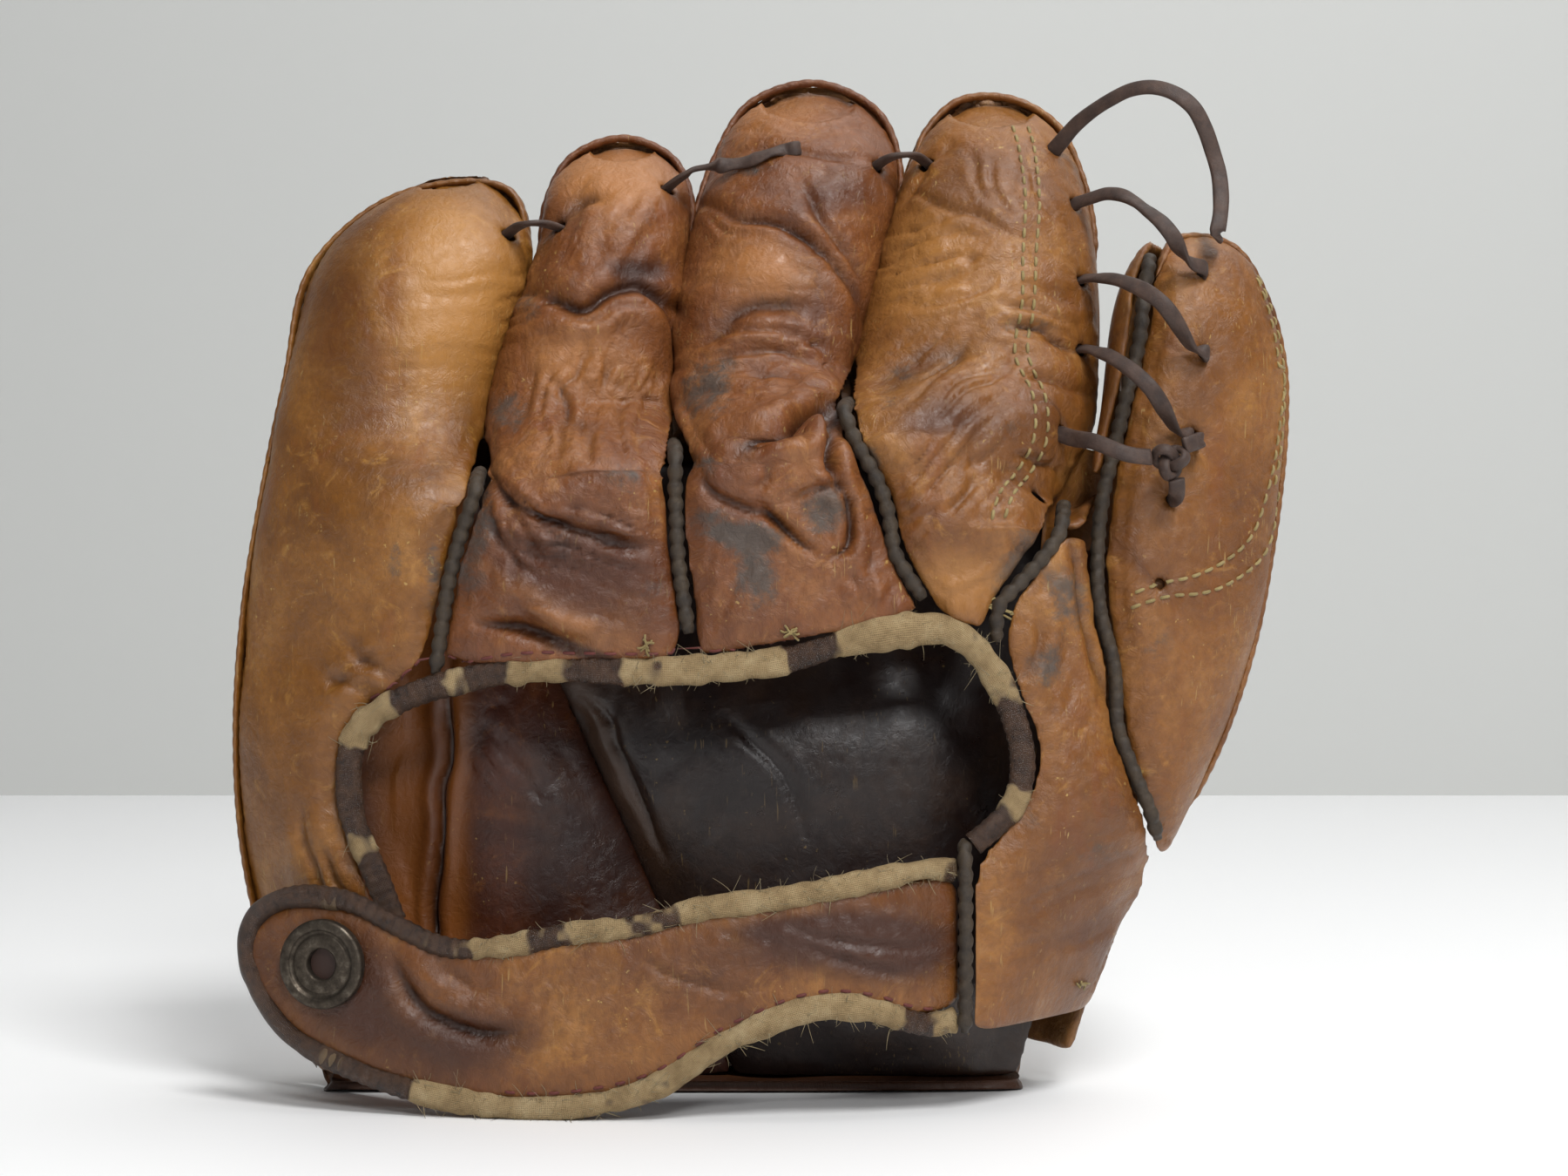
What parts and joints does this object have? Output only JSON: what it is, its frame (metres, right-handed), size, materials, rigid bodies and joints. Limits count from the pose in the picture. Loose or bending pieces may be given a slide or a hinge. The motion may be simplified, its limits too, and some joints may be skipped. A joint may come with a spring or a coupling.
{
  "type": "baseball glove",
  "caption": "Vintage left-hand five-finger leather fielder's glove with open back window, laced web, padded palm and snap wrist strap, standing on its heel.",
  "frame": {"origin": "middle of the bounding box, on the surface the heel stands on", "axes": "+Z to the fingertips, +X towards the thumb, -Y out of the back of the hand, +Y out of the palm"},
  "size_m": [0.2548, 0.0794, 0.2459],
  "materials": {
    "saddle_leather": "worn, satin",
    "russet_leather": "worn, satin",
    "faded_leather": "worn, satin",
    "palm_leather": "worn, satin",
    "welt_leather": "dull",
    "binding_leather": "glossy, frayed",
    "lining_leather": "smooth",
    "felt_pad": "matt felt",
    "rawhide_lace": "dull",
    "waxed_thread": "waxed",
    "snap_metal": "dark, tarnished"
  },
  "bodies": {
    "glove": {"crotch_gusset": "saddle_leather", "heel_pad": "felt_pad", "index_finger_back": "saddle_leather", "index_stitching_inner": "waxed_thread", "index_stitching_outer": "waxed_thread", "lining_little_side": "saddle_leather", "lining_palm": "lining_leather", "little_finger_back": "faded_leather", "little_side_pad": "felt_pad", "middle_finger_back": "russet_leather", "opening_binding": "binding_leather", "palm_pad": "felt_pad", "palm_shell": "palm_leather", "pocket_fold": "palm_leather", "ring_finger_back": "russet_leather", "snap_stud": "snap_metal", "stud_tab": "welt_leather", "thumb_side_back": "saddle_leather", "tip_lace_little_ring": "rawhide_lace", "tip_lace_middle_index": "rawhide_lace", "tip_lace_ring_middle": "rawhide_lace", "web_lace_loop": "rawhide_lace", "web_lace_lower": "rawhide_lace", "web_lace_middle": "rawhide_lace", "web_lace_top": "rawhide_lace", "web_lace_upper": "rawhide_lace", "welt_index_crotch": "welt_leather", "welt_little_ring": "welt_leather", "welt_middle_index": "welt_leather", "welt_ring_middle": "welt_leather", "welt_strap_seam": "welt_leather"},
    "thumb": {"thumb_back": "saddle_leather", "thumb_front": "palm_leather", "thumb_inner_side": "saddle_leather", "thumb_pad": "felt_pad", "thumb_stitching_outer": "waxed_thread", "thumb_stitching_inner": "waxed_thread", "web_lace_knot": "rawhide_lace", "web_lace_tail_up": "rawhide_lace", "web_lace_tail_down": "rawhide_lace", "welt_thumb": "welt_leather"},
    "strap": {"wrist_strap": "russet_leather", "strap_lining": "lining_leather", "strap_top_binding": "binding_leather", "strap_hem_binding": "binding_leather", "snap_cap": "snap_metal", "snap_socket": "snap_metal"}
  },
  "joints": [
    {"name": "thumb_fold", "type": "hinge", "parent": "glove", "child": "thumb", "pos_m": [0.08249, 0.00672, 0.1], "axis": [0, 0, 1], "range_deg": [0, 25], "deforming": ["web_lace_loop", "web_lace_top", "web_lace_upper", "web_lace_middle", "web_lace_lower", "crotch_gusset", "pocket_fold"]},
    {"name": "strap_swing", "type": "hinge", "parent": "glove", "child": "strap", "pos_m": [0.04599, -0.03128, 0.038], "axis": [0, 0, 1], "range_deg": [0, 120]}
  ]
}
